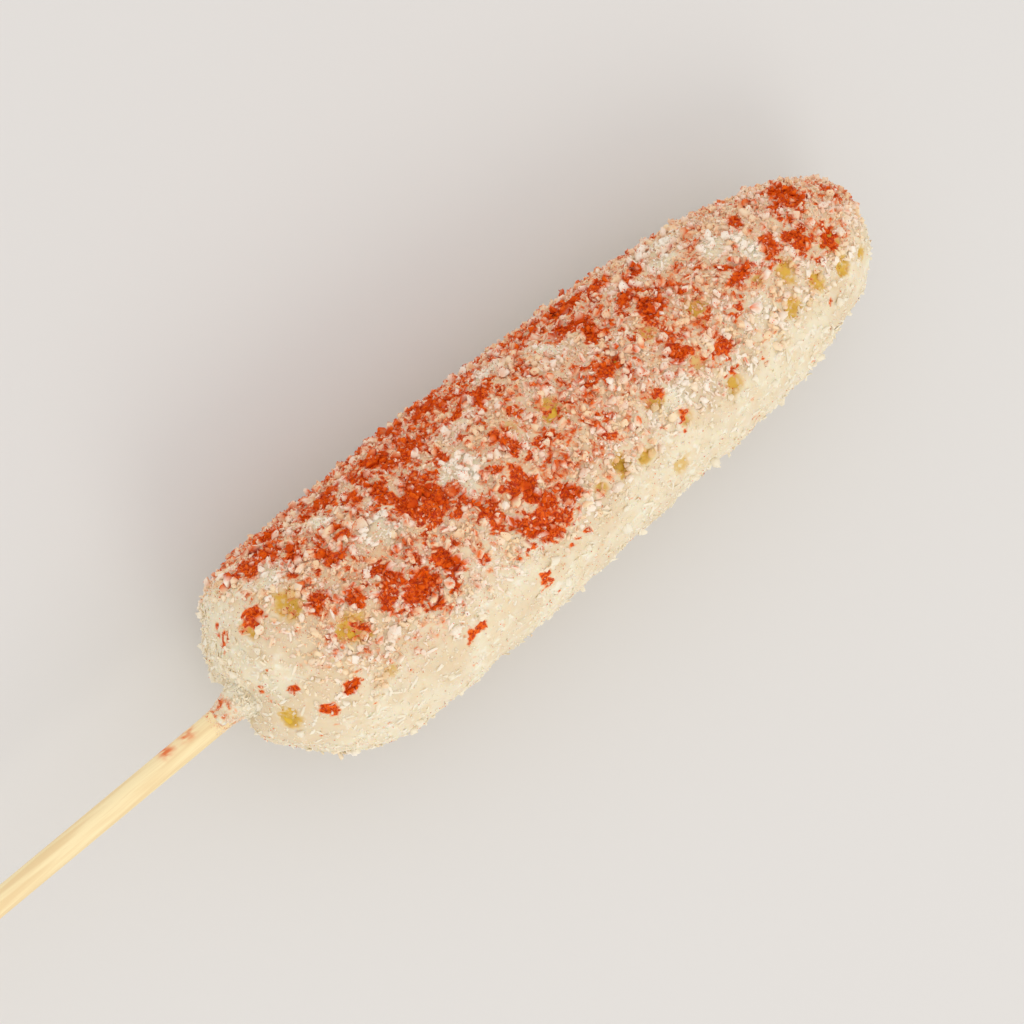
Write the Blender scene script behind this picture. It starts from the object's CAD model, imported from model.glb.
"""The looks of an elote: an ear of corn on a stick, in cream, grated cheese and chili powder.

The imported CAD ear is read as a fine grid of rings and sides, which becomes the thick cream
coat. Kernels show through thin places in the coat. Cheese crumbs, finer grains, shreds and
chili powder lie on it as joined meshes. The wooden stick is turned with its grain, and a
ragged collar of cream clings to it where it leaves the ear.
"""

import math

import bmesh
import bpy
import numpy as np
from mathutils import Matrix, Vector, noise
from mathutils.bvhtree import BVHTree


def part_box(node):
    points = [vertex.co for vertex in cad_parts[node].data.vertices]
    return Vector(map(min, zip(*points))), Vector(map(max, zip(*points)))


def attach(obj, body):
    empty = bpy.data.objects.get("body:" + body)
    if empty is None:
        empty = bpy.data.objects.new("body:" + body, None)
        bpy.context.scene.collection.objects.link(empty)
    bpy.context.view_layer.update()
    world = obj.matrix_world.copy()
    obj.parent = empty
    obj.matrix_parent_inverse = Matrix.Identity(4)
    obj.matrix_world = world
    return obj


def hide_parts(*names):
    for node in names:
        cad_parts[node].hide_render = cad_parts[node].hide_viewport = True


MM = 0.001
SEED = 20

# ---- The grid that covers the ear ----
RINGS = 300
SIDES = 326
BASE_BEND = 20 * MM          # radius over which the rings turn round the base end
TIP_BEND = 16 * MM
BASE_REACH = 0.9 * BASE_BEND     # how far the coat over the hole lies from the middle of the bend
CAST_FROM = 80 * MM          # rays start this far from the axis
SMOOTHING = 6                # passes that soften the facets of the CAD ear
NEAREST_BASE = 3 * MM        # places nearer to the base end are read here

# ---- Relief of the coat ----
COAT_INSET = 0.5 * MM        # the bare coat lies this far inside the CAD ear, crumbs fill the rest
WINDOW_DEPTH = 1.0 * MM      # depth of the thin places over the kernels
FLOOR_GAP = 0.05 * MM        # nothing comes nearer to the floor than this
SMEARS = ((5 * MM, 0.45 * MM, 21.0), (2.2 * MM, 0.30 * MM, 22.0))    # (size, height, seed)
CLUMP_SIZE = 3.2 * MM
CLUMP_HEIGHT = 0.80 * MM
GRAIN_SIZE = 1.4 * MM
GRAIN_HEIGHT = 0.40 * MM

# Broad swellings, or dents where the height is negative:
# (mm along the ear, degrees round from +Y, height and half width in mm)
SWELLINGS = (
    (146, 168, 1.6, 20), (172, 165, 1.0, 10), (176, 172, 2.4, 6), (140, 0, 0.6, 25),
    (24, 172, 1.4, 12), (5, 184, -1.8, 7), (0, 20, -1.6, 10), (1, -22, -2.4, 7),
)

# ---- Kernels ----
KERNEL_ROWS = 16
KERNEL_PITCH = 4.7 * MM
KERNEL_DEPTH = 1.0 * MM      # crowns lie this far under the CAD surface
KERNEL_SIZE = (2.45 * MM, 4.0 * MM, 3.2 * MM)     # half sizes along, round and out of the ear
SEEN_ROUND = 20              # kernels up to this many degrees from a thin place are built,
SEEN_ALONG = 2 * MM          # and up to this far beyond its edge along the ear
# Thin places in the coat: (mm along the ear, degrees round from +Y, radius in mm, how bare)
WINDOWS = (
    (9, 50, 2, 0.7), (18, 56, 3, 1.0), (4, 110, 2.5, 1.0), (25, 84, 3, 1.0), (27, 113, 1.5, 0.5),
    (82, 60, 1.5, 0.5), (92, 65, 2.5, 0.8), (111, 65, 1.5, 0.7), (121, 64, 2, 0.7), (134, 70, 2.5, 0.8),
    (112, 94, 2, 0.8), (126, 93, 1.5, 0.5), (90, 110, 1.5, 0.6), (97, 107, 2, 0.8), (103, 113, 2, 0.8),
    (116, 112, 1.5, 0.6), (131, 117, 2, 0.7), (153, 107, 2, 0.9), (162, 107, 2, 0.8), (171, 92, 2.5, 1.0),
    (171, 115, 2, 0.8), (178, 125, 1.5, 0.8), (110, 133, 2, 0.5), (158, 86, 2, 0.7), (150, 80, 1.5, 0.6),
)

# ---- Chili powder ----
PATCH_DEPTH = 6 * MM         # a patch doesn't reach points that lie deeper than this under it
# Patches: (mm along the ear, degrees round from +Y, half length and half width in mm, strength)
CHILI_PATCHES = (
    (17, 20, 4, 2, 0.9), (23, 22, 4, 2.5, 1.0), (28, 12, 3, 2, 1.0), (41, 20, 4, 2.5, 1.0),
    (27, 37, 3, 1.5, 0.8), (47, 38, 4, 2, 0.8), (57, 27, 4, 3, 1.0), (64, 30, 2.5, 3, 0.8),
    (75, 12, 6, 2, 1.0), (76, 35, 3, 1.5, 0.7), (74, 47, 3, 1.5, 0.7), (84, 33, 3, 2.5, 0.9),
    (11, 46, 2, 2, 0.9), (32, 50, 1.5, 3, 0.9), (23, 63, 2, 1.5, 0.8), (30, 74, 1.5, 2, 0.8),
    (39, 70, 3, 2, 0.7), (51, 52, 2.5, 4, 0.9), (57, 62, 5, 5, 1.0), (38, 82, 3, 3, 0.9),
    (43, 90, 4.5, 2.5, 1.0), (51, 87, 2, 4, 0.9), (44, 99, 2, 1.5, 0.7), (58, 99, 1.5, 1, 0.8),
    (66, 83, 2, 4, 0.8), (73, 71, 2, 2, 0.7), (79, 70, 2, 1.5, 0.7), (76, 89, 2, 5, 1.0),
    (74, 101, 4, 3, 1.0), (76, 108, 4, 2, 1.0), (83, 102, 2.5, 2, 1.0), (68, 109, 2, 1, 0.7),
    (11, 113, 2, 1.5, 0.8), (17, 107, 2, 1.5, 0.8), (8, 91, 1, 1, 0.6), (27, 87, 1.5, 1, 0.8),
    (48, 125, 2.5, 1.5, 0.8), (68, 130, 1.5, 2, 0.9), (79, 122, 2, 1, 0.8), (95, 34, 2, 2, 0.6),
    (116, 17, 3.5, 2.5, 1.0), (124, 18, 4, 2, 0.9), (131, 27, 2.5, 1.5, 0.8), (108, 33, 2.5, 1.5, 0.7),
    (113, 43, 2, 3.5, 1.0), (124, 42, 3, 2, 0.8), (126, 55, 3.5, 2.5, 0.9), (108, 67, 3, 2.5, 0.8),
    (117, 64, 2, 1.5, 0.8), (82, 75, 2, 1, 0.7), (97, 84, 2, 2, 0.6), (123, 83, 2, 1.5, 1.0),
    (114, 92, 2, 1, 0.6), (133, 97, 2.5, 2.5, 0.9), (131, 110, 3, 1, 0.7), (115, 111, 2, 1.5, 0.6),
    (145, 62, 2.5, 2, 0.7), (148, 71, 2, 1.5, 0.8), (141, 86, 3, 1.5, 0.6), (158, 38, 2, 2.5, 0.7),
    (158, 70, 2, 3, 0.8), (165, 76, 2, 5, 0.8), (172, 38, 3, 4, 1.0), (171, 92, 2, 3, 0.6),
    (181, 60, 1.5, 5, 0.5), (4, 81, 2, 1.5, 0.6), (2, 27, 2, 1.5, 0.6),
)

# Clumps of cheese that stayed white, given in the same way
CLEAN_PATCHES = (
    (66, 62, 6, 4, 1.0), (45, 57, 5, 3, 1.0), (20, 37, 3, 3, 1.0), (37, 33, 2, 2, 1.0),
    (89, 20, 4, 2, 1.0), (104, 36, 3, 3, 1.0), (117, 98, 4, 3.5, 1.0), (139, 18, 6, 2.5, 1.0),
    (138, 34, 4, 2, 1.0), (148, 46, 3, 3, 1.0), (154, 62, 2, 5, 1.0), (146, 93, 3, 3, 1.0),
)

# ---- Loose grains: how many of each, the least and the greatest width, and the corners of one ----
LARGE_CRUMBS = 2600
LARGE_WIDTH = (2.2 * MM, 4.2 * MM)
LARGE_CORNERS = 16
SMALL_CRUMBS = 10000
SMALL_WIDTH = (1.1 * MM, 2.4 * MM)
SMALL_CORNERS = 8
CRUMB_SHAPES = 14            # different shapes of crumbs
FINES = 20500
FINE_WIDTH = (0.40 * MM, 1.1 * MM)
FINE_CORNERS = 6             # chili grains have as many
FINE_SHAPES = 10
STICK_CRUMBS = 700           # more of them on the cream round the stick, of many sizes
SHREDS = 3600
SHRED_WIDTH = (0.6 * MM, 1.2 * MM)
SHRED_CORNERS = 14
SHRED_SHAPES = 12
SHRED_TILT = 0.35            # how unevenly the shreds lie: 0 is flat on the coat
CHILI_GRAINS = 23500
CHILI_WIDTH = (0.22 * MM, 0.50 * MM)
DROP_HEIGHT = 8 * MM         # grains are dropped onto the coat from this far outside
SOFT_EDGE = math.radians(60)     # blunter edges of the grains are shaded smooth

# ---- The stick ----
STICK_SIDES = 48
STICK_RINGS = 260
STICK_POINT = 12 * MM
STICK_CHAMFER = 0.5 * MM
STICK_GRAIN = 0.05 * MM      # depth of the grain's furrows
STICK_CLING = 11 * MM        # crumbs cling to this length of it beside the ear
NOTCH_DEPTH = 3 * MM         # the stick leaves the ear this far inside its base end
SMUDGES = (13, 19)           # chili smudges on its +Y side, in mm from the ear
SMUDGE_WIDTH = 1.6           # half width of each, in mm

# ---- The collar of cream round the stick ----
COLLAR_SUNK = 3 * MM         # it starts this far inside the ear
COLLAR_REACH = 9 * MM        # and runs out this far at most
COLLAR_SIDE = math.radians(60)       # where round the stick it reaches furthest, from +Y upwards
COLLAR_THICK = 2.4 * MM
COLLAR_RINGS = 60

# ---- Camera: leans from straight above towards the stick and towards +Y ----
LEAN_BACK = math.radians(13.5)
LEAN_SIDE = math.radians(8.5)
PICTURE_TURN = math.radians(39.5)    # the ear climbs to the right in the picture
CAMERA_DISTANCE = 1.10
FIELD_WIDTH = 0.2314                 # width of the picture at the ear
AIM_BACK = 15.8 * MM                 # from the ear's middle towards the stick
AIM_SIDE = -4.2 * MM
AIM_HEIGHT = 27 * MM
SENSOR_WIDTH = 36

# ---- Light and floor ----
KEY_PLACE = (-0.35, -1.25, 1.35)
KEY_SIZE = 0.9
KEY_POWER = 4.2
KEY_COLOUR = (1.0, 0.95, 0.86)
SURROUND_COLOUR = (1.0, 0.962, 0.925, 1.0)
SURROUND_STRENGTH = 0.96
FLOOR_SIZE = 6.0


def linear(red, green, blue):
    """A colour given as it looks on a screen, 0 to 255, as the shader wants it."""
    def channel(value):
        value = value / 255
        return value / 12.92 if value <= 0.04045 else ((value + 0.055) / 1.055) ** 2.4
    return (channel(red), channel(green), channel(blue), 1.0)


CREAM = linear(240, 230, 204)
CREAM_WARM = linear(237, 221, 190)
CREAM_WHITE = linear(247, 241, 222)
CREAM_SHADE = linear(228, 206, 172)
CREAM_SOAKED = linear(234, 196, 156)
KERNEL_GLOW = linear(224, 178, 42)
CHEESE_WHITE = linear(255, 250, 238)
CHEESE_YELLOW = linear(252, 234, 198)
CHEESE_GREY = linear(240, 222, 200)
CHILI_BRIGHT = linear(248, 108, 0)
CHILI_DEEP = linear(196, 56, 0)
CHILI_DARK = linear(128, 38, 8)
CHILI_PEACH = linear(242, 166, 114)
KERNEL_YELLOW = linear(240, 194, 48)
KERNEL_OLIVE = linear(198, 156, 48)
WOOD_PALE = linear(252, 235, 188)
WOOD_TAN = linear(240, 214, 164)
CHILI_SMUDGE = linear(232, 120, 60)
FLOOR_GREY = linear(224, 224, 224)


# ================= Reading the ear =================

class Ear:
    """The CAD ear: its own axis, and its outside as a grid of rings and sides."""

    def __init__(self, node):
        self.low, self.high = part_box(node.name)
        vertices = [vertex.co.copy() for vertex in node.data.vertices]
        faces = [tuple(face.vertices) for face in node.data.polygons]
        self.tree = BVHTree.FromPolygons(vertices, faces)
        self.find_axis()
        self.cast_grid()

    def middle_height(self, x):
        """Height of the ear's middle above the floor at x."""
        top = self.tree.ray_cast(Vector((x, 0, self.high.z + CAST_FROM)), Vector((0, 0, -1)))[0]
        bottom = self.tree.ray_cast(Vector((x, 0, self.low.z - CAST_FROM)), Vector((0, 0, 1)))[0]
        return (top.z + bottom.z) / 2

    def find_axis(self):
        """The axis runs from the base end towards the tip, and falls a little."""
        near = self.low.x + 0.3 * (self.high.x - self.low.x)
        far = self.low.x + 0.8 * (self.high.x - self.low.x)
        slope = (self.middle_height(far) - self.middle_height(near)) / (far - near)
        start_height = self.middle_height(near) - slope * (near - self.low.x)
        forward = Vector((1, 0, slope)).normalized()
        side = Vector((0, 1, 0))
        self.start = np.array((self.low.x, 0.0, start_height))
        self.axes = np.array((forward, side, forward.cross(side)))
        self.length = (self.high.x - self.low.x) / forward.x

    def to_world(self, local):
        """From the ear's own axes to the shared frame."""
        return self.start + local @ self.axes

    def coordinates(self, points):
        """Distance along the ear from its base, angle round from +Y in degrees, and radius."""
        local = (points - self.start) @ self.axes.T
        around = np.degrees(np.arctan2(local[:, 2], local[:, 1]))
        return local[:, 0], around, np.hypot(local[:, 1], local[:, 2])

    def cast_grid(self):
        """Read the outside along rays that turn round both ends, like those of a capsule."""
        straight = self.length - BASE_BEND - TIP_BEND
        first_bend = BASE_BEND * math.pi / 2
        whole = first_bend + straight + TIP_BEND * math.pi / 2
        travel = np.linspace(0, whole, RINGS + 2)[1:-1]
        past_base = np.clip(travel - first_bend, 0, straight)
        bend = np.minimum(travel / BASE_BEND - math.pi / 2, 0)
        bend = bend + np.maximum(travel - first_bend - straight, 0) / TIP_BEND
        angle = np.arange(SIDES) * 2 * math.pi / SIDES
        starts = np.zeros((RINGS, SIDES, 3))
        starts[:, :, 0] = (BASE_BEND + past_base)[:, None]
        ways = np.stack((
            np.repeat(np.sin(bend)[:, None], SIDES, 1),
            np.cos(bend)[:, None] * np.cos(angle),
            np.cos(bend)[:, None] * np.sin(angle)), 2)
        starts = self.to_world(starts.reshape(-1, 3))
        ways = ways.reshape(-1, 3) @ self.axes
        reach = np.array([self.reach_from(start, way) for start, way in zip(starts, ways)])
        reach = self.close_bore(reach.reshape(RINGS, SIDES), bend)
        self.points = starts + ways * smoothed(reach, SMOOTHING).reshape(-1, 1)
        self.normals = grid_normals(self.points)

    def reach_from(self, start, way):
        """Distance from a point of the axis to the outside, cast inwards from far off."""
        hit = self.tree.ray_cast(Vector(start + way * CAST_FROM), Vector(-way))
        return CAST_FROM - hit[3] if hit[0] else 0.0

    def frame_at(self, along, degrees):
        """A place on the CAD surface, and the ways onward, sideways and outward from it."""
        angle = math.radians(degrees)
        way = self.axes[1] * math.cos(angle) + self.axes[2] * math.sin(angle)
        start = self.start + self.axes[0] * max(along, NEAREST_BASE)
        place, normal, _, _ = self.tree.ray_cast(Vector(start + way * CAST_FROM), Vector(-way))
        onward = Vector(self.axes[0])
        onward = (onward - normal * onward.dot(normal)).normalized()
        return np.array(place), np.array((onward, normal.cross(onward), normal))

    def close_bore(self, reach, bend):
        """Rays that fell into the hole round the stick get the reach of the coat beside it.

        Where most of a ring fell in, they get BASE_REACH.
        """
        for ring in np.flatnonzero(bend < -math.pi / 4):
            usual = np.median(reach[ring])
            if usual < BASE_BEND / 2:
                usual = BASE_REACH
            reach[ring] = np.where(reach[ring] < 0.6 * usual, usual, reach[ring])
        return reach


def smoothed(grid, passes):
    """Average each value with its neighbours, round the ring and from ring to ring."""
    for _ in range(passes):
        grid = (2 * grid + np.roll(grid, 1, 1) + np.roll(grid, -1, 1)) / 4
        padded = np.pad(grid, ((1, 1), (0, 0)), mode="edge")
        grid = (2 * grid + padded[:-2] + padded[2:]) / 4
    return grid


def grid_normals(points):
    """The way out of the surface at each grid point."""
    grid = points.reshape(RINGS, SIDES, 3)
    across = np.roll(grid, -1, 1) - np.roll(grid, 1, 1)
    onward = np.gradient(grid, axis=0)
    normals = np.cross(across, onward)
    normals /= np.maximum(np.linalg.norm(normals, axis=2, keepdims=True), 1e-12)
    return normals.reshape(-1, 3)


def grid_areas(points):
    """The piece of surface that each grid point stands for."""
    grid = points.reshape(RINGS, SIDES, 3)
    across = (np.roll(grid, -1, 1) - np.roll(grid, 1, 1)) / 2
    onward = np.gradient(grid, axis=0)
    return np.linalg.norm(np.cross(across, onward), axis=2).ravel()


# ================= Patterns on the ear =================

def noise_at(points, size, seed):
    """Smooth noise, about -1 to 1, with features of the given size. Each seed gives another."""
    places = points / size + np.array((seed, 1.7 * seed, 0.6 * seed))
    return np.array([noise.noise(place) for place in places.tolist()])


def grains_at(points, size, seed):
    """Rounded grains: 1 at the middle of each cell, falling to 0 at its edges."""
    places = points / size + np.array((seed, 1.7 * seed, 0.6 * seed))
    nearest = np.array([noise.voronoi(place)[0][0] for place in places.tolist()])
    return np.sqrt(np.clip(1 - nearest ** 2, 0, 1))


def clumps_at(points):
    """Rounded clumps of cheese, which the coat and the crumbs share."""
    return grains_at(points, CLUMP_SIZE, 23.0)


def step(value, low, high):
    """Smooth step from 0 at low to 1 at high."""
    share = np.clip((value - low) / (high - low), 0, 1)
    return share * share * (3 - 2 * share)


def windows_at(ear, points, ragged):
    """How bare the kernels lie: 1 in the middle of a thin place in the coat."""
    bare = np.zeros(len(points))
    for mm_along, degrees, size, strength in WINDOWS:
        place, _ = ear.frame_at(mm_along * MM, degrees)
        apart = np.linalg.norm(points - place, axis=1) / (size * MM)
        bare = np.maximum(bare, strength * (1 - step(apart * ragged, 0.6, 1.3)))
    return bare


def crumbly_at(ear, points):
    """Where the cheese lies thick: 1 on the upper side, less on the smooth base and -Y side."""
    along, around, _ = ear.coordinates(points)
    wander = 14 * noise_at(points, 22 * MM, 1.0)
    upper = step((around + wander + 180) % 360 - 180, -70, -20) * (1 - step(around + wander, 98, 132))
    past_base = step(along + 3 * MM * noise_at(points, 8 * MM, 2.0), 6 * MM, 22 * MM)
    return 0.12 + 0.88 * upper * (0.25 + 0.75 * past_base)


def dusted_at(ear, points):
    """Where chili fell at all: most on the +Y side of the top, and some on the stick."""
    along, around, _ = ear.coordinates(points)
    upper = step(around, -60, -5) * (1 - step(around, 60, 135))
    return np.maximum(upper * step(along, 4 * MM, 28 * MM), 0.6 * step(-along, 0, 3 * MM))


def patches_at(ear, points, patches):
    """Soft oval patches, which have their strength in the middle and fade outwards."""
    field = np.zeros(len(points))
    for mm_along, degrees, half_length, half_width, strength in patches:
        place, ways = ear.frame_at(mm_along * MM, degrees)
        local = (points - place) @ ways.T
        apart = np.hypot(local[:, 0] / (half_length * MM), local[:, 1] / (half_width * MM))
        apart = np.where(local[:, 2] > -PATCH_DEPTH, apart, 9)
        field = np.maximum(field, strength * np.exp(-0.42 * apart ** 2))
    return field


def clean_at(ear, points):
    """Clumps of cheese that the chili missed, 0 to 1."""
    patches = patches_at(ear, points, CLEAN_PATCHES)
    return step(patches + 0.3 * noise_at(points, 3.2 * MM, 12.0), 0.4, 0.8)


def chili_at(ear, points):
    """Thickness of the chili powder, 0 to 1: patches with ragged edges, and a thin dusting."""
    along, around, _ = ear.coordinates(points)
    cloud = noise_at(points, 9 * MM, 9.0)
    blotch = noise_at(points, 3.2 * MM, 7.0)
    speck = noise_at(points, 1.3 * MM, 8.0) + 0.5 * noise_at(points, 0.7 * MM, 10.0)
    clean = clean_at(ear, points)
    thick = step(patches_at(ear, points, CHILI_PATCHES) + 0.50 * blotch + 0.45 * speck, 0.36, 0.76)
    dusted = dusted_at(ear, points)
    shoulder = (1 - step(around, 12, 50)) * (1 - step(along, 90 * MM, 130 * MM))
    thin = dusted * step(0.8 * speck + 0.6 * blotch + 0.4 * cloud + 0.22 * shoulder, -0.05, 0.58)
    thin *= 1 - 0.45 * step(along, 100 * MM, 160 * MM)
    powder = thick + (0.75 * thin + 0.13 * dusted) * (1 - 0.65 * clean)
    return np.clip(powder, 0, 1) * (1 - 0.5 * clean)


# ================= Meshes =================

def new_mesh(name, points, faces):
    """A mesh of the points and faces, rid of any broken face."""
    mesh = bpy.data.meshes.new(name)
    mesh.from_pydata(points.tolist(), [], faces)
    mesh.validate()
    return mesh


def new_piece(name, mesh, material):
    """A visible piece that rides on the object's one body."""
    piece = bpy.data.objects.new(name, mesh)
    bpy.context.scene.collection.objects.link(piece)
    mesh.materials.append(material)
    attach(piece, "root")
    return piece


def store_colour(mesh, name, colours):
    """Store a colour for each point of the mesh."""
    layer = mesh.attributes.new(name, "FLOAT_COLOR", "POINT")
    layer.data.foreach_set("color", np.asarray(colours, np.float32).ravel())


def grid_faces(rings, sides):
    """Faces of rings of points, with one more point closing each end."""
    faces = []
    for ring in range(rings - 1):
        here = ring * sides
        for side in range(sides):
            onward = (side + 1) % sides
            faces.append((here + side, here + onward, here + sides + onward, here + sides + side))
    base, tip, last = rings * sides, rings * sides + 1, (rings - 1) * sides
    for side in range(sides):
        onward = (side + 1) % sides
        faces.append((base, onward, side))
        faces.append((tip, last + side, last + onward))
    return faces


def close_ends(points, rings, sides):
    """Add the mean of the first and the last ring, as the points that close the ends."""
    grid = points.reshape(rings, sides, -1)
    return np.concatenate((points, grid[:1].mean(1), grid[-1:].mean(1)))


def read_all(items, name):
    """A whole number from each item, such as the vertex at each corner."""
    values = np.zeros(len(items), np.int32)
    items.foreach_get(name, values)
    return values


def map_grid(mesh, rings, sides):
    """A map for baking: rings run up the picture and sides across it."""
    layer = mesh.uv_layers.new(name="OFBake")
    corner = read_all(mesh.loops, "vertex_index")
    starts = read_all(mesh.polygons, "loop_start")
    counts = read_all(mesh.polygons, "loop_total")
    side = (corner % sides).astype(float)
    ring = corner // sides
    ring = np.where(corner == rings * sides, -1, np.where(corner == rings * sides + 1, rings, ring))
    # A face that goes on from the last side to the first is mapped beyond the last side,
    # and a point that closes an end lies midway between the other corners of its face.
    for first, count in zip(starts, counts):
        part = slice(first, first + count)
        real = corner[part] < rings * sides
        if side[part][real].max() - side[part][real].min() > sides / 2:
            side[part] = np.where(side[part] < sides / 2, side[part] + sides, side[part])
        side[part] = np.where(real, side[part], side[part][real].mean())
    places = np.stack((0.005 + 0.99 * side / sides, 0.005 + 0.99 * (ring + 1) / (rings + 1)), 1)
    layer.data.foreach_set("uv", places.astype(np.float32).ravel())


def grid_mesh(name, points, rings, sides):
    """A smooth mesh over rings of points, closed at both ends, with a map for baking."""
    mesh = new_mesh(name, close_ends(points, rings, sides), grid_faces(rings, sides))
    mesh.shade_smooth()
    map_grid(mesh, rings, sides)
    return mesh


def store_value(mesh, name, values, rings, sides):
    """Store a value for each grid point, and for the points that close the ends."""
    closed = close_ends(values[:, None], rings, sides)
    layer = mesh.attributes.new(name, "FLOAT", "POINT")
    layer.data.foreach_set("value", closed.astype(np.float32).ravel())


# ================= The cream coat =================

def coat_relief(ear, points, crumbly, bare):
    """How far the coat stands out: soft smears, and packed grains where the cheese is thick."""
    smears = sum(height * noise_at(points, size, seed) for size, height, seed in SMEARS)
    clumps = CLUMP_HEIGHT * (clumps_at(points) - 0.6)
    grains = GRAIN_HEIGHT * (grains_at(points, GRAIN_SIZE, 24.0) - 0.6)
    torn = WINDOW_DEPTH * bare * (1 + 0.6 * noise_at(points, 1.1 * MM, 25.0))
    relief = smears + (0.25 + 0.75 * crumbly) * clumps + (0.4 + 0.6 * crumbly) * grains - torn
    for mm_along, degrees, height, width in SWELLINGS:
        place, _ = ear.frame_at(mm_along * MM, degrees)
        apart = np.linalg.norm(points - place, axis=1) / (width * MM)
        relief += height * MM * np.exp(-apart ** 2)
    return relief


def make_coat(ear):
    """The cream coat. The ear keeps its points and patterns for the pieces that lie on it."""
    crumbly = crumbly_at(ear, ear.points)
    ragged = 1 + 0.45 * noise_at(ear.points, 1.6 * MM, 3.0) + 0.4 * noise_at(ear.points, 4 * MM, 5.0)
    bare = windows_at(ear, ear.points, ragged)
    relief = coat_relief(ear, ear.points, crumbly, bare)
    points = ear.points + ear.normals * (relief - COAT_INSET)[:, None]
    points[:, 2] = np.maximum(points[:, 2], FLOOR_GAP)
    ear.coat_points = points
    ear.coat_normals = grid_normals(points)
    mesh = grid_mesh("cream_coat", points, RINGS, SIDES)
    chili = chili_at(ear, points)
    glow = np.clip(1.3 * windows_at(ear, ear.points, 0.85 * ragged), 0, 0.9)
    soaked = crumbly * dusted_at(ear, points) * (1 - clean_at(ear, points))
    for name, values in (("chili", chili), ("glow", glow), ("soaked", soaked)):
        store_value(mesh, name, values, RINGS, SIDES)
    coat = new_piece("cream_coat", mesh, cream_material())
    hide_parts("coated_ear")
    ear.bare = bare
    ear.chili = chili
    ear.crumbly = crumbly
    return coat


# ================= Kernels =================

def kernel_shape():
    """One crown: a rounded block with a shallow dent on top, half size 1 each way."""
    shape = bmesh.new()
    bmesh.ops.create_uvsphere(shape, u_segments=20, v_segments=14, radius=1.0)
    for vertex in shape.verts:
        across = Vector((vertex.co.x, vertex.co.y))
        square = max(abs(across.x), abs(across.y), 1e-6) / max(across.length, 1e-6)
        boxed = across / square ** 0.6
        dent = 0.10 * math.exp(-(across.length / 0.35) ** 2) if vertex.co.z > 0 else 0
        vertex.co = Vector((boxed.x, boxed.y, vertex.co.z - dent))
    points = np.array([vertex.co for vertex in shape.verts])
    faces = [tuple(vertex.index for vertex in face.verts) for face in shape.faces]
    shape.free()
    return points, faces


def kernels_near_windows():
    """The places on the cob, as (row, number along the row), whose kernels can be seen."""
    seen = set()
    for mm_along, degrees, size, _ in WINDOWS:
        for row in range(KERNEL_ROWS):
            off_row = abs((row * 360 / KERNEL_ROWS - degrees + 180) % 360 - 180)
            if off_row > SEEN_ROUND:
                continue
            stagger = 0.5 * (row % 2)
            number = round(mm_along * MM / KERNEL_PITCH - stagger)
            for near in (number - 1, number, number + 1):
                apart = abs((near + stagger) * KERNEL_PITCH - mm_along * MM)
                if near >= 0 and apart < size * MM + SEEN_ALONG:
                    seen.add((row, near))
    return sorted(seen)


def make_kernels(ear):
    """Kernels of the rows that show, set on the cob under the coat."""
    shape, shape_faces = kernel_shape()
    rng = np.random.default_rng(SEED + 1)
    points, faces, tones = [], [], []
    for row, number in kernels_near_windows():
        along = (number + 0.5 * (row % 2)) * KERNEL_PITCH
        degrees = row * 360 / KERNEL_ROWS
        place, ways = ear.frame_at(along, degrees)
        size = np.array(KERNEL_SIZE) * rng.uniform(0.92, 1.06, 3)
        centre = place - ways[2] * (KERNEL_DEPTH + size[2] - rng.uniform(0, 0.3) * MM)
        faces += [tuple(index + len(points) * len(shape) for index in face) for face in shape_faces]
        points.append((shape * size) @ ways + centre)
        tones.append(np.repeat([mix(KERNEL_YELLOW, KERNEL_OLIVE, rng.uniform())], len(shape), 0))
    mesh = new_mesh("kernels", np.concatenate(points), faces)
    mesh.shade_smooth()
    store_colour(mesh, "tone", np.concatenate(tones))
    new_piece("kernels", mesh, kernel_material())


def mix(first, second, share):
    """A colour between two, which is the first where the share is 0."""
    return np.asarray(first) * (1 - share) + np.asarray(second) * share


# ================= Scattered grains =================

def hull_shape(points):
    """The convex hull of a few points, as points and triangles."""
    shape = bmesh.new()
    for point in points:
        shape.verts.new(point)
    bmesh.ops.convex_hull(shape, input=shape.verts)
    loose = [vertex for vertex in shape.verts if not vertex.link_faces]
    bmesh.ops.delete(shape, geom=loose, context="VERTS")
    bmesh.ops.recalc_face_normals(shape, faces=shape.faces)
    shape.verts.index_update()
    corners = np.array([vertex.co for vertex in shape.verts])
    faces = np.array([[vertex.index for vertex in face.verts] for face in shape.faces])
    shape.free()
    return corners, faces


def grain_shapes(kinds, corners, rng):
    """Several uneven nuggets of width 1, each the hull of random points near a ball."""
    shapes = []
    for _ in range(kinds):
        points = rng.normal(size=(corners, 3))
        reach = 0.5 * rng.uniform(0.75, 1.0, (corners, 1))
        points *= reach / np.linalg.norm(points, axis=1, keepdims=True)
        shapes.append(hull_shape(points.tolist()))
    return shapes


def random_turns(count, rng):
    """Random rotation matrices."""
    a, b, c, d = rng.normal(size=(4, count))
    long = np.sqrt(a * a + b * b + c * c + d * d)
    a, b, c, d = a / long, b / long, c / long, d / long
    return np.stack((
        np.stack((1 - 2 * (c * c + d * d), 2 * (b * c - a * d), 2 * (b * d + a * c)), 1),
        np.stack((2 * (b * c + a * d), 1 - 2 * (b * b + d * d), 2 * (c * d - a * b)), 1),
        np.stack((2 * (b * d - a * c), 2 * (c * d + a * b), 1 - 2 * (b * b + c * c)), 1)), 1)


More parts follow.
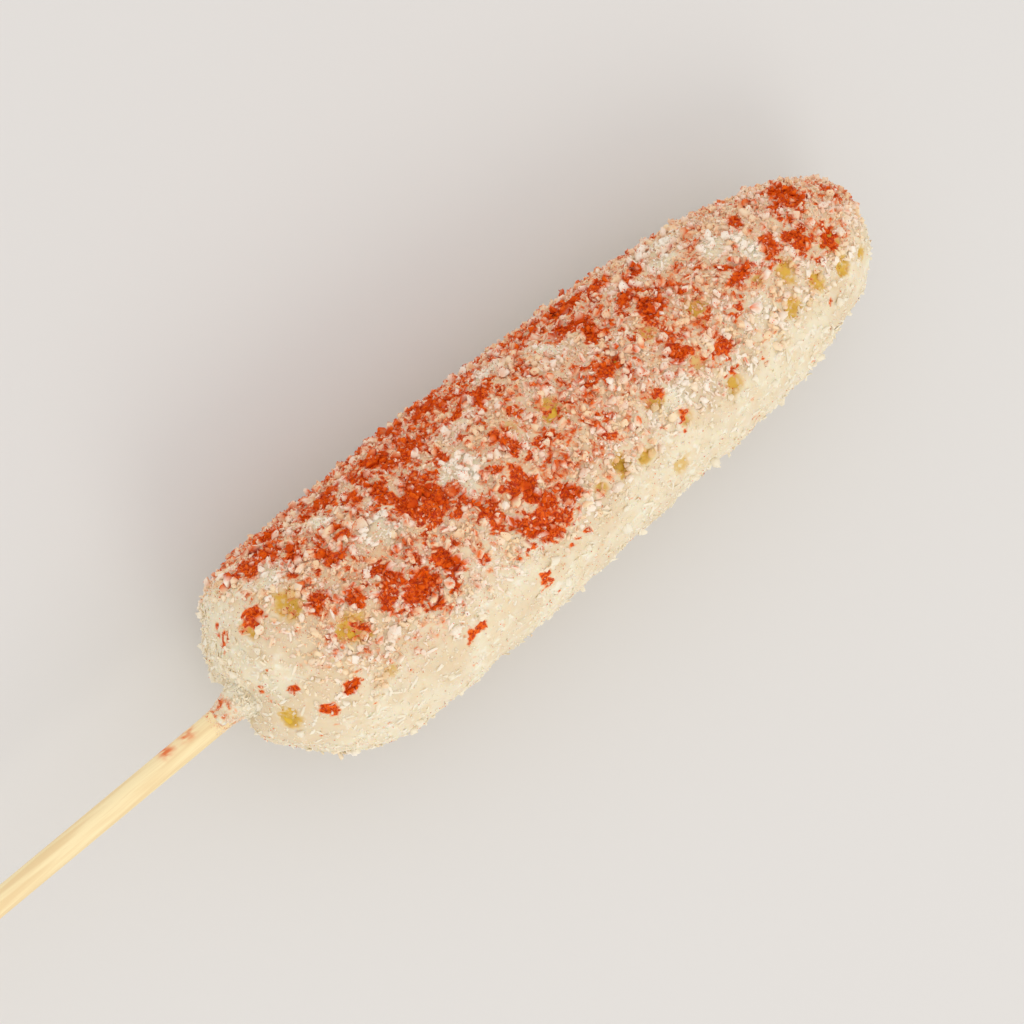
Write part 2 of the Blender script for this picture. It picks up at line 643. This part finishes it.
def lying_turns(normals, rng):
    """Rotations that lay a grain's z axis roughly along the normals, turned at random."""
    up = normals + SHRED_TILT * rng.normal(size=normals.shape)
    up /= np.linalg.norm(up, axis=1, keepdims=True)
    along = rng.normal(size=normals.shape)
    along -= up * (along * up).sum(1, keepdims=True)
    along /= np.linalg.norm(along, axis=1, keepdims=True)
    return np.stack((along, np.cross(up, along), up), 2)


def pick_places(ear, density, count, rng):
    """Random places on the coat, more of them where the density is higher, and their normals."""
    weight = density * grid_areas(ear.coat_points)
    chosen = rng.choice(len(weight), size=count, p=weight / weight.sum())
    normals = ear.coat_normals[chosen]
    jitter = rng.uniform(-0.35, 0.35, (count, 3)) * MM
    jitter -= normals * (jitter * normals).sum(1, keepdims=True)
    return ear.coat_points[chosen] + jitter, normals


def outside_of(pieces):
    """One search tree of the outsides of several pieces."""
    points, faces = [], []
    for piece in pieces:
        first = len(points)
        points += [vertex.co.copy() for vertex in piece.data.vertices]
        faces += [tuple(first + index for index in face.vertices) for face in piece.data.polygons]
    return BVHTree.FromPolygons(points, faces)


def dropped(places, normals, outside):
    """Move each place out along its normal to the outermost surface there."""
    landed = places.copy()
    for index, (place, normal) in enumerate(zip(places, normals)):
        start = Vector(place + normal * DROP_HEIGHT)
        hit = outside.ray_cast(start, Vector(-normal), 2 * DROP_HEIGHT)[0]
        if hit:
            landed[index] = hit
    return landed


class Grains:
    """Loose pieces of one kind, gathered batch by batch and joined in one mesh."""

    def __init__(self):
        self.points, self.faces, self.tones, self.cells = [], [], [], []
        self.vertices = self.grains = 0

    def add(self, shapes, centres, turns, sizes, paint, rng):
        """Place one batch, each grain with one of the shapes and its own turn and size.

        The colour of each point comes from paint(points, the grain that each belongs to).
        """
        chosen = rng.integers(0, len(shapes), len(centres))
        for kind, (corners, faces) in enumerate(shapes):
            own = np.flatnonzero(chosen == kind)
            scaled = corners * sizes[own, None, :]
            placed = np.einsum("nij,nkj->nki", turns[own], scaled) + centres[own, None, :]
            first = self.vertices + np.arange(len(own)) * len(corners)
            self.points.append(placed.reshape(-1, 3))
            self.faces.append((faces[None] + first[:, None, None]).reshape(-1, 3))
            self.tones.append(paint(self.points[-1], np.repeat(own, len(corners))))
            self.cells.append(np.repeat(self.grains + np.arange(len(own)), len(faces)))
            self.vertices += len(own) * len(corners)
            self.grains += len(own)

    def join(self, name):
        """The mesh, with a colour for each grain and a map for baking.

        In the map each grain has a cell of its own, and all its faces fill that cell.
        """
        points = np.concatenate(self.points)
        points[:, 2] = np.maximum(points[:, 2], FLOOR_GAP)
        mesh = new_mesh(name, points, np.concatenate(self.faces).tolist())
        mesh.shade_smooth()
        mesh.set_sharp_from_angle(angle=SOFT_EDGE)
        store_colour(mesh, "tone", np.concatenate(self.tones))
        cell = np.concatenate(self.cells)
        across = math.ceil(math.sqrt(self.grains))
        low = np.stack((cell % across, cell // across), 1)
        corner = np.array(((0.1, 0.1), (0.9, 0.1), (0.1, 0.9)))
        places = (low[:, None, :] + corner[None]) / across
        layer = mesh.uv_layers.new(name="OFBake")
        layer.data.foreach_set("uv", places.astype(np.float32).ravel())
        return mesh


def cheese_tones(ear, places, rng):
    """One colour for each grain of cheese: whiter and yellower clumps, with odd grains between.

    Where the coat is smooth, the grains are as creamy as the coat.
    """
    clean = clean_at(ear, places)
    whiter = noise_at(places, 4.5 * MM, 41.0) + 0.35 * rng.normal(size=len(places))
    tones = mix(CHEESE_YELLOW, CHEESE_WHITE, step(whiter + 0.8 * clean, -0.45, 0.40)[:, None])
    greyer = step(rng.uniform(0, 1, len(places)), 0.70, 1.0) * (1 - clean)
    tones = mix(tones, CHEESE_GREY, 0.6 * greyer[:, None])
    return mix(tones, CREAM_WHITE, 0.8 * step(crumbly_at(ear, places), 0.7, 0.2)[:, None])


def dusted_tones(base, chili, rng):
    """Cheese colours under chili powder: peach where it is thin and red-orange where thick."""
    share = np.clip(chili * (1.1 + 0.3 * rng.normal(size=len(chili))), 0, 1)[:, None]
    powder = mix(CHILI_BRIGHT, CHILI_DEEP, rng.uniform(0, 1, (len(chili), 1)))
    peach = mix(base, CHILI_PEACH, np.clip(share * 1.9, 0, 1))
    return mix(peach, powder, step(share, 0.30, 0.66))


def cheese_paint(ear, places, rng):
    """A paint for grains of cheese, dusted with chili on whichever side it fell."""
    stained = windows_at(ear, places, 0.8) * rng.uniform(0.2, 1.0, len(places))
    tones = mix(cheese_tones(ear, places, rng), KERNEL_GLOW, 0.9 * stained[:, None])
    taken = np.where(rng.uniform(0, 1, len(places)) < 0.08, 0.4, 1.0)

    def paint(points, grain):
        return dusted_tones(tones[grain], taken[grain] * chili_at(ear, points), rng)
    return paint


def make_crumbs(ear):
    """Grated cheese: crumbs of one to four millimetres, piled where the cheese is thick."""
    rng = np.random.default_rng(SEED + 2)
    density = (ear.crumbly ** 1.8 + 0.01) * (1 - 0.72 * step(ear.bare, 0.10, 0.5))
    density *= 0.3 + 0.7 * clumps_at(ear.points) ** 2
    grains = Grains()
    large = (LARGE_CRUMBS, LARGE_WIDTH, LARGE_CORNERS)
    small = (SMALL_CRUMBS, SMALL_WIDTH, SMALL_CORNERS)
    for count, widths, corners in (large, small):
        places, normals = pick_places(ear, density, count, rng)
        width = widths[0] + (widths[1] - widths[0]) * rng.uniform(0, 1, count) ** 2
        sizes = width[:, None] * rng.uniform(0.42, 1.0, (count, 3))
        centres = places + normals * (rng.uniform(-0.1, 0.26, count) * width)[:, None]
        paint = cheese_paint(ear, centres, rng)
        shapes = grain_shapes(CRUMB_SHAPES, corners, rng)
        grains.add(shapes, centres, random_turns(count, rng), sizes, paint, rng)
    return new_piece("cheese_crumbs", grains.join("cheese_crumbs"), cheese_material())


def make_shreds(ear):
    """Short shreds of cheese, half sunk in the cream and between the crumbs."""
    rng = np.random.default_rng(SEED + 4)
    density = (0.25 + 0.75 * ear.crumbly) * (1 - 0.80 * step(ear.bare, 0.05, 0.4))
    places, normals = pick_places(ear, density, SHREDS, rng)
    width = rng.uniform(*SHRED_WIDTH, SHREDS)
    sizes = np.stack((width * rng.uniform(2.0, 4.2, SHREDS), width, 0.7 * width), 1)
    centres = places + normals * (rng.uniform(-0.25, 0.15, SHREDS) * width)[:, None]
    paint = cheese_paint(ear, centres, rng)
    grains = Grains()
    shapes = grain_shapes(SHRED_SHAPES, SHRED_CORNERS, rng)
    grains.add(shapes, centres, lying_turns(normals, rng), sizes, paint, rng)
    return new_piece("cheese_shreds", grains.join("cheese_shreds"), cheese_material())


def make_fines(ear, outside):
    """The finest cheese, all over the coat and thickest on the upper side."""
    rng = np.random.default_rng(SEED + 3)
    density = (0.40 + 0.60 * ear.crumbly) * (1 - 0.80 * step(ear.bare, 0.05, 0.4))
    places, normals = pick_places(ear, density, FINES, rng)
    width = rng.uniform(*FINE_WIDTH, FINES)
    sizes = width[:, None] * rng.uniform(0.6, 1.0, (FINES, 3))
    centres = dropped(places, normals, outside) + normals * (0.05 * width)[:, None]
    shapes = grain_shapes(FINE_SHAPES, FINE_CORNERS, rng)
    grains = Grains()
    turns = random_turns(FINES, rng)
    grains.add(shapes, centres, turns, sizes, cheese_paint(ear, centres, rng), rng)
    centres, sizes = crumbs_on_stick(rng)
    turns = random_turns(STICK_CRUMBS, rng)
    grains.add(shapes, centres, turns, sizes, cheese_paint(ear, centres, rng), rng)
    new_piece("cheese_fines", grains.join("cheese_fines"), cheese_material())


def crumbs_on_stick(rng):
    """Places and sizes of the crumbs on the cream that clings to the stick, and just beyond it."""
    share = rng.uniform(0, 1, STICK_CRUMBS) ** 1.2
    away = STICK_CLING * share
    angle = np.radians(rng.uniform(-20, 160, STICK_CRUMBS))
    height = np.maximum(collar_height(away, angle), 0)
    spread = SMALL_WIDTH[1] - FINE_WIDTH[0]
    width = FINE_WIDTH[0] + spread * (1 - share) * rng.uniform(0, 1, STICK_CRUMBS)
    sizes = width[:, None] * rng.uniform(0.5, 1.0, (STICK_CRUMBS, 3))
    return round_stick(away, angle, height), sizes


def make_chili(ear, outside):
    """Chili powder: coarse grains, thick in the patches and sparse between them."""
    rng = np.random.default_rng(SEED + 5)
    density = ear.chili ** 1.3 + 0.018 + 0.20 * dusted_at(ear, ear.coat_points)
    places, normals = pick_places(ear, density, CHILI_GRAINS, rng)
    width = rng.uniform(*CHILI_WIDTH, CHILI_GRAINS)
    sizes = width[:, None] * rng.uniform(0.5, 1.0, (CHILI_GRAINS, 3))
    centres = dropped(places, normals, outside) + normals * (0.15 * width)[:, None]
    deeper = 0.5 + 0.9 * noise_at(centres, 2.5 * MM, 42.0) + 0.2 * rng.normal(size=CHILI_GRAINS)
    tones = mix(CHILI_BRIGHT, CHILI_DEEP, np.clip(deeper, 0, 1)[:, None])
    tones = mix(tones, CHILI_DARK, rng.uniform(0, 1, (CHILI_GRAINS, 1)) < 0.09)

    def paint(points, grain):
        return tones[grain]
    grains = Grains()
    turns = random_turns(CHILI_GRAINS, rng)
    shapes = grain_shapes(FINE_SHAPES, FINE_CORNERS, rng)
    grains.add(shapes, centres, turns, sizes, paint, rng)
    new_piece("chili_powder", grains.join("chili_powder"), chili_material())


# ================= The stick =================

def stick_outline(length, radius):
    """Distance along the stick and radius, from the chamfered outer end to the inner point."""
    run = np.linspace(STICK_CHAMFER, length - STICK_POINT, STICK_RINGS - 4)
    along = np.concatenate(((0.0, 0.0), run, (length - STICK_POINT / 2, length)))
    inner = radius - STICK_CHAMFER
    thick = np.concatenate(((inner / 2, inner), np.full(len(run), radius), (radius / 2, 0.05 * MM)))
    return along, thick


def stick_line():
    """The middle of the stick's outer end, the way it runs, and its radius."""
    low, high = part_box("stick")
    radius = (high.y - low.y) / 2
    fall = math.atan2(high.z - low.z - 2 * radius, high.x - low.x - STICK_POINT)
    start = np.array((low.x, (low.y + high.y) / 2, high.z - radius))
    return start, np.array((math.cos(fall), 0, -math.sin(fall))), radius


def make_stick():
    """The turned wooden stick, with the fine furrows of its grain running along it."""
    low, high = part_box("stick")
    start, way, radius = stick_line()
    length = (high.x - low.x + radius * way[2]) / way[0]
    along, thick = stick_outline(length, radius)
    angle = np.arange(STICK_SIDES) * 2 * math.pi / STICK_SIDES
    grid = np.stack((
        np.repeat(along[:, None], STICK_SIDES, 1),
        thick[:, None] * np.cos(angle),
        thick[:, None] * np.sin(angle)), 2).reshape(-1, 3)
    furrows = STICK_GRAIN * (noise_at(grid * np.array((0.02, 1, 1)), 0.5 * MM, 31.0) - 0.6)
    full = np.repeat(thick > 0.9 * radius, STICK_SIDES)
    grid[:, 1:] *= (1 + full * furrows / radius)[:, None]
    side = np.array((0.0, 1.0, 0.0))
    points = start + grid @ np.array((way, side, np.cross(way, side)))
    points[:, 0] += low.x - points[:, 0].min()
    mesh = grid_mesh("wooden_stick", points, STICK_RINGS, STICK_SIDES)
    mesh.set_sharp_from_angle(angle=math.radians(40))
    store_value(mesh, "smudge", smudge_at(points), STICK_RINGS, STICK_SIDES)
    stick = new_piece("wooden_stick", mesh, wood_material())
    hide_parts("stick")


def collar_height(away, angle):
    """Thickness of the cream on the stick, which thins out and then dips under the wood."""
    reach = COLLAR_REACH * (0.25 + 0.75 * step(np.cos(angle - COLLAR_SIDE), -0.6, 0.9))
    return COLLAR_THICK * np.clip(1 - away / reach, -0.1, 1)


def ear_leaves_stick():
    """The x of the bottom of the notch, where the stick comes out of the ear."""
    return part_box("coated_ear")[0].x + NOTCH_DEPTH


def round_stick(away, angle, height):
    """Places round the stick: away from the ear, at an angle from +Y, and this high on it."""
    start, way, radius = stick_line()
    middle = start + ((ear_leaves_stick() - away - start[0]) / way[0])[:, None] * way
    around = np.stack((0 * angle, np.cos(angle), np.sin(angle)), 1)
    return middle + (radius + height)[:, None] * around


def make_collar(ear):
    """A ragged cone of cream round the stick, which runs thin along its upper +Y side."""
    away = np.repeat(np.linspace(COLLAR_REACH, -COLLAR_SUNK, COLLAR_RINGS), STICK_SIDES)
    angle = np.tile(np.arange(STICK_SIDES) * 2 * math.pi / STICK_SIDES, COLLAR_RINGS)
    ragged = 1.2 * MM * noise_at(round_stick(away, angle, 0 * away), 1.8 * MM, 34.0)
    height = collar_height(away + 2 * ragged, angle) + 0.25 * ragged
    points = round_stick(away, angle, height)
    mesh = grid_mesh("stick_cream", points, COLLAR_RINGS, STICK_SIDES)
    store_value(mesh, "chili", chili_at(ear, points), COLLAR_RINGS, STICK_SIDES)
    new_piece("stick_cream", mesh, cream_material())


def smudge_at(points):
    """Chili that was rubbed onto the +Y side of the stick near the ear."""
    start, _, radius = stick_line()
    away = (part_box("coated_ear")[0].x - points[:, 0]) / MM
    facing = step((points[:, 1] - start[1]) / radius, 0.0, 0.8)
    rubbed = sum(np.exp(-((away - middle) / SMUDGE_WIDTH) ** 2) for middle in SMUDGES)
    speck = 0.5 + noise_at(points, 0.9 * MM, 33.0)
    return facing * np.clip(rubbed * 1.6 * speck, 0, 1)


# ================= Materials =================

class Nodes:
    """A material's node tree, with short ways to add and join nodes."""

    def __init__(self, name, roughness, shine=0.5):
        self.material = bpy.data.materials.new(name)
        self.material.use_nodes = True
        self.tree = self.material.node_tree
        self.shader = self.tree.nodes["Principled BSDF"]
        self.shader.inputs["Roughness"].default_value = roughness
        self.shader.inputs["Specular IOR Level"].default_value = shine

    def add(self, kind, **settings):
        node = self.tree.nodes.new(kind)
        for key, value in settings.items():
            setattr(node, key, value)
        return node

    def link(self, output, socket):
        self.tree.links.new(output, socket)

    def feed(self, socket, value):
        """Set a socket to a value, or join it to another node's output."""
        if isinstance(value, bpy.types.NodeSocket):
            self.link(value, socket)
        else:
            socket.default_value = value

    def place(self, stretch=(1, 1, 1)):
        """Position on the object, stretched along its axes."""
        mapping = self.add("ShaderNodeMapping")
        mapping.inputs["Scale"].default_value = stretch
        self.link(self.add("ShaderNodeTexCoord").outputs["Object"], mapping.inputs["Vector"])
        return mapping.outputs["Vector"]

    def noise(self, size, detail=3.0, stretch=(1, 1, 1)):
        texture = self.add("ShaderNodeTexNoise")
        texture.inputs["Scale"].default_value = 1 / size
        texture.inputs["Detail"].default_value = detail
        self.link(self.place(stretch), texture.inputs["Vector"])
        return texture.outputs["Fac"]

    def attribute(self, name, output="Fac"):
        return self.add("ShaderNodeAttribute", attribute_name=name).outputs[output]

    def range(self, value, low, high):
        """0 below low, 1 above high, and smooth between."""
        node = self.add("ShaderNodeMapRange", interpolation_type="SMOOTHSTEP")
        node.inputs["From Min"].default_value = low
        node.inputs["From Max"].default_value = high
        self.link(value, node.inputs["Value"])
        return node.outputs["Result"]

    def math(self, operation, first, second):
        node = self.add("ShaderNodeMath", operation=operation)
        self.feed(node.inputs[0], first)
        self.feed(node.inputs[1], second)
        return node.outputs["Value"]

    def mix(self, share, first, second):
        """A mix of two colours, which are inputs 6 and 7 of the node and come out of output 2."""
        node = self.add("ShaderNodeMix", data_type="RGBA")
        self.link(share, node.inputs[0])
        self.feed(node.inputs[6], first)
        self.feed(node.inputs[7], second)
        return node.outputs[2]

    def colour(self, output):
        self.link(output, self.shader.inputs["Base Color"])

    def soft(self, weight, reach):
        """Let light soak in, red light furthest, as it does in cream and corn."""
        self.shader.inputs["Subsurface Weight"].default_value = weight
        self.shader.inputs["Subsurface Radius"].default_value = (1.0, 0.7, 0.4)
        self.shader.inputs["Subsurface Scale"].default_value = reach

    def bump(self, height, distance, strength):
        node = self.add("ShaderNodeBump")
        node.inputs["Distance"].default_value = distance
        node.inputs["Strength"].default_value = strength
        self.link(height, node.inputs["Height"])
        self.link(node.outputs["Normal"], self.shader.inputs["Normal"])


def cream_material():
    """Pale cream in uneven smears, yellow over thin places, and powdered with chili."""
    nodes = Nodes("cream", 0.55, 0.3)
    cream = nodes.mix(nodes.range(nodes.noise(5 * MM), 0.42, 0.62), CREAM, CREAM_WARM)
    cream = nodes.mix(nodes.range(nodes.noise(2.2 * MM), 0.52, 0.70), cream, CREAM_WHITE)
    broad = nodes.range(nodes.noise(16 * MM, 2.0), 0.44, 0.62)
    cream = nodes.mix(nodes.math("MULTIPLY", broad, 0.6), cream, CREAM_SHADE)
    cream = nodes.mix(nodes.math("MULTIPLY", nodes.attribute("soaked"), 0.45), cream, CREAM_SOAKED)
    patchy = nodes.range(nodes.noise(1.3 * MM, 4.0), 0.22, 0.50)
    cream = nodes.mix(nodes.math("MULTIPLY", nodes.attribute("glow"), patchy), cream, KERNEL_GLOW)
    uneven = nodes.math("MULTIPLY", nodes.noise(0.8 * MM), 0.6)
    speckle = nodes.math("ADD", nodes.attribute("chili"), uneven)
    peach = nodes.mix(nodes.range(speckle, 0.36, 0.80), cream, CHILI_PEACH)
    powder = nodes.mix(nodes.range(nodes.noise(0.7 * MM), 0.4, 0.6), CHILI_BRIGHT, CHILI_DEEP)
    nodes.colour(nodes.mix(nodes.range(speckle, 0.64, 0.98), peach, powder))
    nodes.soft(0.5, 2.0 * MM)
    nodes.bump(nodes.noise(0.6 * MM, 4.0), 0.15 * MM, 0.45)
    return nodes.material


def cheese_material():
    """Crumbly white cheese that takes its colour from each grain."""
    nodes = Nodes("cheese", 0.75, 0.2)
    nodes.colour(nodes.attribute("tone", "Color"))
    nodes.bump(nodes.noise(0.5 * MM, 4.0), 0.12 * MM, 0.3)
    return nodes.material


def chili_material():
    """Matt powder that takes its colour from each grain."""
    nodes = Nodes("chili", 0.9, 0.0)
    nodes.colour(nodes.attribute("tone", "Color"))
    return nodes.material


def kernel_material():
    """Moist yellow corn skin."""
    nodes = Nodes("kernel", 0.28)
    shade = nodes.math("MULTIPLY", nodes.range(nodes.noise(1.6 * MM), 0.40, 0.65), 0.4)
    nodes.colour(nodes.mix(shade, nodes.attribute("tone", "Color"), KERNEL_GLOW))
    nodes.soft(0.30, 2.0 * MM)
    return nodes.material


def wood_material():
    """Pale unvarnished wood, with fine fibres along the stick."""
    nodes = Nodes("wood", 0.62)
    fibres = nodes.noise(0.35 * MM, 4.0, (0.02, 1, 1))
    bands = nodes.noise(1.8 * MM, 2.0, (0.05, 1, 1))
    wood = nodes.mix(nodes.range(bands, 0.40, 0.66), WOOD_PALE, WOOD_TAN)
    wood = nodes.mix(nodes.math("MULTIPLY", nodes.range(fibres, 0.45, 0.75), 0.5), wood, WOOD_TAN)
    nodes.colour(nodes.mix(nodes.attribute("smudge"), wood, CHILI_SMUDGE))
    nodes.bump(fibres, 0.06 * MM, 0.5)
    return nodes.material


# ================= Stage, light and camera =================

def make_floor():
    """A plain pale floor, which isn't part of the elote."""
    bpy.ops.mesh.primitive_plane_add(size=FLOOR_SIZE)
    floor = bpy.context.object
    floor.name = "floor"
    nodes = Nodes("floor", 0.9)
    nodes.shader.inputs["Base Color"].default_value = FLOOR_GREY
    floor.data.materials.append(nodes.material)


def make_key_light(target):
    """One soft warm light, from the -Y side."""
    data = bpy.data.lights.new("key", "AREA")
    data.shape = "DISK"
    data.size = KEY_SIZE
    data.energy = KEY_POWER
    data.color = KEY_COLOUR
    light = bpy.data.objects.new("key", data)
    light.location = KEY_PLACE
    light.rotation_euler = (target - Vector(KEY_PLACE)).to_track_quat("-Z", "Y").to_euler()
    bpy.context.scene.collection.objects.link(light)


def make_surround():
    """An even pale light from all round."""
    world = bpy.data.worlds.new("surround")
    world.use_nodes = True
    background = world.node_tree.nodes["Background"]
    background.inputs["Color"].default_value = SURROUND_COLOUR
    background.inputs["Strength"].default_value = SURROUND_STRENGTH
    bpy.context.scene.world = world


def make_camera(target):
    """Look down on the ear, leaning towards the stick and the +Y side, with the ear climbing."""
    back = Vector((-math.tan(LEAN_BACK), math.tan(LEAN_SIDE), 1.0)).normalized()
    forward = Vector((1, 0, 0))
    forward = (forward - back * forward.dot(back)).normalized()
    sideways = back.cross(forward)
    right = forward * math.cos(PICTURE_TURN) - sideways * math.sin(PICTURE_TURN)
    up = back.cross(right)
    data = bpy.data.cameras.new("camera")
    data.sensor_width = SENSOR_WIDTH
    data.lens = SENSOR_WIDTH * CAMERA_DISTANCE / FIELD_WIDTH
    data.clip_start = 0.05
    data.clip_end = 20
    camera = bpy.data.objects.new("camera", data)
    turn = Matrix((right, up, back)).transposed()
    camera.matrix_world = Matrix.Translation(target + back * CAMERA_DISTANCE) @ turn.to_4x4()
    bpy.context.scene.collection.objects.link(camera)
    bpy.context.scene.camera = camera


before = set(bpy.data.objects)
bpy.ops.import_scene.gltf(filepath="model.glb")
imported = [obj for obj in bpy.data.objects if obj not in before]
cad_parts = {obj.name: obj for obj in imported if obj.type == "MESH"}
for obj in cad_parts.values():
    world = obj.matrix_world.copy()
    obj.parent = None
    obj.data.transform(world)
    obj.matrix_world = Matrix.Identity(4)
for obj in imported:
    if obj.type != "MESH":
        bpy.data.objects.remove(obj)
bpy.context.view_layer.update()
bpy.context.scene.view_settings.view_transform = "Standard"

ear = Ear(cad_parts["coated_ear"])
ear_middle = (ear.low + ear.high) / 2
aim = Vector((ear_middle.x - AIM_BACK, AIM_SIDE, AIM_HEIGHT))
make_camera(aim)
make_key_light(aim)
make_surround()
make_floor()

coat = make_coat(ear)
make_kernels(ear)
crumbs = make_crumbs(ear)
shreds = make_shreds(ear)
outside = outside_of((coat, crumbs, shreds))
make_fines(ear, outside)
make_chili(ear, outside)
make_stick()
make_collar(ear)
